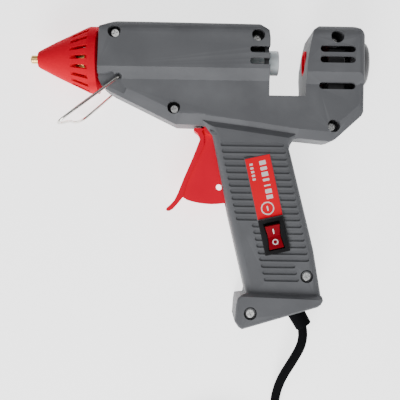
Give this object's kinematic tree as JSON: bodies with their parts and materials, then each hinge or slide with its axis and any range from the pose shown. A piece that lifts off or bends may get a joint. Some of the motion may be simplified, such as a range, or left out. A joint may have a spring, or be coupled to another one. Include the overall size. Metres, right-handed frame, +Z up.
{
  "type": "hot melt glue gun",
  "caption": "Corded hot melt glue gun lying on its side: slotted nozzle cone, barrel and rear stick tower, trigger, grooved handle with rocker switch, folding wire stand, coiled cord with plug.",
  "frame": {"origin": "centre of the gun's footprint, without its cord, on the surface it lies on", "axes": "+X runs from the nozzle to the rear stick inlet, +Y to the top of the barrel, +Z up out of the side with the switch"},
  "size_m": [0.231, 0.3486, 0.042],
  "materials": {
    "casing": "moulded satin grey plastic, fine texture",
    "shroud": "moulded red heat-resistant plastic",
    "brass": "turned brass",
    "steel": "bright steel",
    "wire": "bright plated wire",
    "aluminium": "cast aluminium",
    "ceramic": "white ceramic",
    "fibre": "woven glass fibre and pressed rings",
    "silicone": "translucent white silicone",
    "carriage": "moulded dark plastic",
    "trigger": "moulded red plastic",
    "collar": "moulded grey plastic",
    "switch": "moulded black plastic",
    "rocker": "moulded dark red plastic",
    "label": "printed red foil",
    "block": "moulded off-white plastic",
    "lead_brown": "insulated wire",
    "lead_blue": "insulated wire",
    "lead_sleeved": "glass-sleeved wire",
    "cord": "black sheathed cord",
    "plated": "plated pins"
  },
  "bodies": {
    "housing": {"casing_left": "casing", "casing_right": "casing", "nozzle_shroud": "shroud", "nozzle": "brass", "check_ball": "steel", "ball_spring": "steel", "melt_chamber": "aluminium", "heater": "ceramic", "heater_clip": "steel", "chamber_insulation": "fibre", "support_rings": "fibre", "inlet_sleeve": "silicone", "sleeve_clamp": "steel", "thermal_fuse": "ceramic", "trigger_pin": "steel", "return_spring": "steel", "inlet_collar": "collar", "guide_bush": "shroud", "switch_body": "switch", "switch_terminals": "brass", "label_plate": "label", "case_screws": "steel", "foot_screws": "steel", "terminal_block": "block", "cord_clamp": "switch", "clamp_screws": "steel", "core_live": "lead_brown", "core_neutral": "lead_blue", "live_lead": "lead_brown", "neutral_lead": "lead_blue", "heater_lead": "lead_sleeved", "cord_boot": "cord", "cord_inner": "cord", "cord_run": "cord", "cord_coil": "cord", "cord_tail": "cord", "cord_tie": "cord", "plug_body": "cord", "plug_pins": "plated"},
    "trigger": {"trigger": "trigger"},
    "carriage": {"feed_carriage": "carriage", "grip_jaw": "steel", "jaw_pin": "steel"},
    "rocker": {"switch_rocker": "rocker"},
    "stand": {"stand_wire": "wire"}
  },
  "joints": [
    {"name": "trigger_pull", "type": "hinge", "parent": "housing", "child": "trigger", "pos_m": [0.0084, 0.0297, 0.0205], "axis": [0, 0, 1], "range_deg": [0, 20], "stiffness_Nm_per_rad": 0.5, "springref_deg": -11.46},
    {"name": "feed_slide", "type": "slide", "parent": "housing", "child": "carriage", "axis": [-1, 0, 0], "range_m": [0, 0.0092], "deforming": ["return_spring"]},
    {"name": "rocker_tilt", "type": "hinge", "parent": "housing", "child": "rocker", "pos_m": [0.046, -0.0356, 0.0375], "axis": [-0.9744, -0.225, 0], "range_deg": [0, 24]},
    {"name": "stand_swing", "type": "hinge", "parent": "housing", "child": "stand", "pos_m": [-0.0482, 0.0577, 0.0205], "axis": [0, 0, 1], "range_deg": [-30, 45]}
  ],
  "couplings": [
    {"joint": "feed_slide", "follows": "trigger_pull", "m_per_rad": 0.0262}
  ]
}
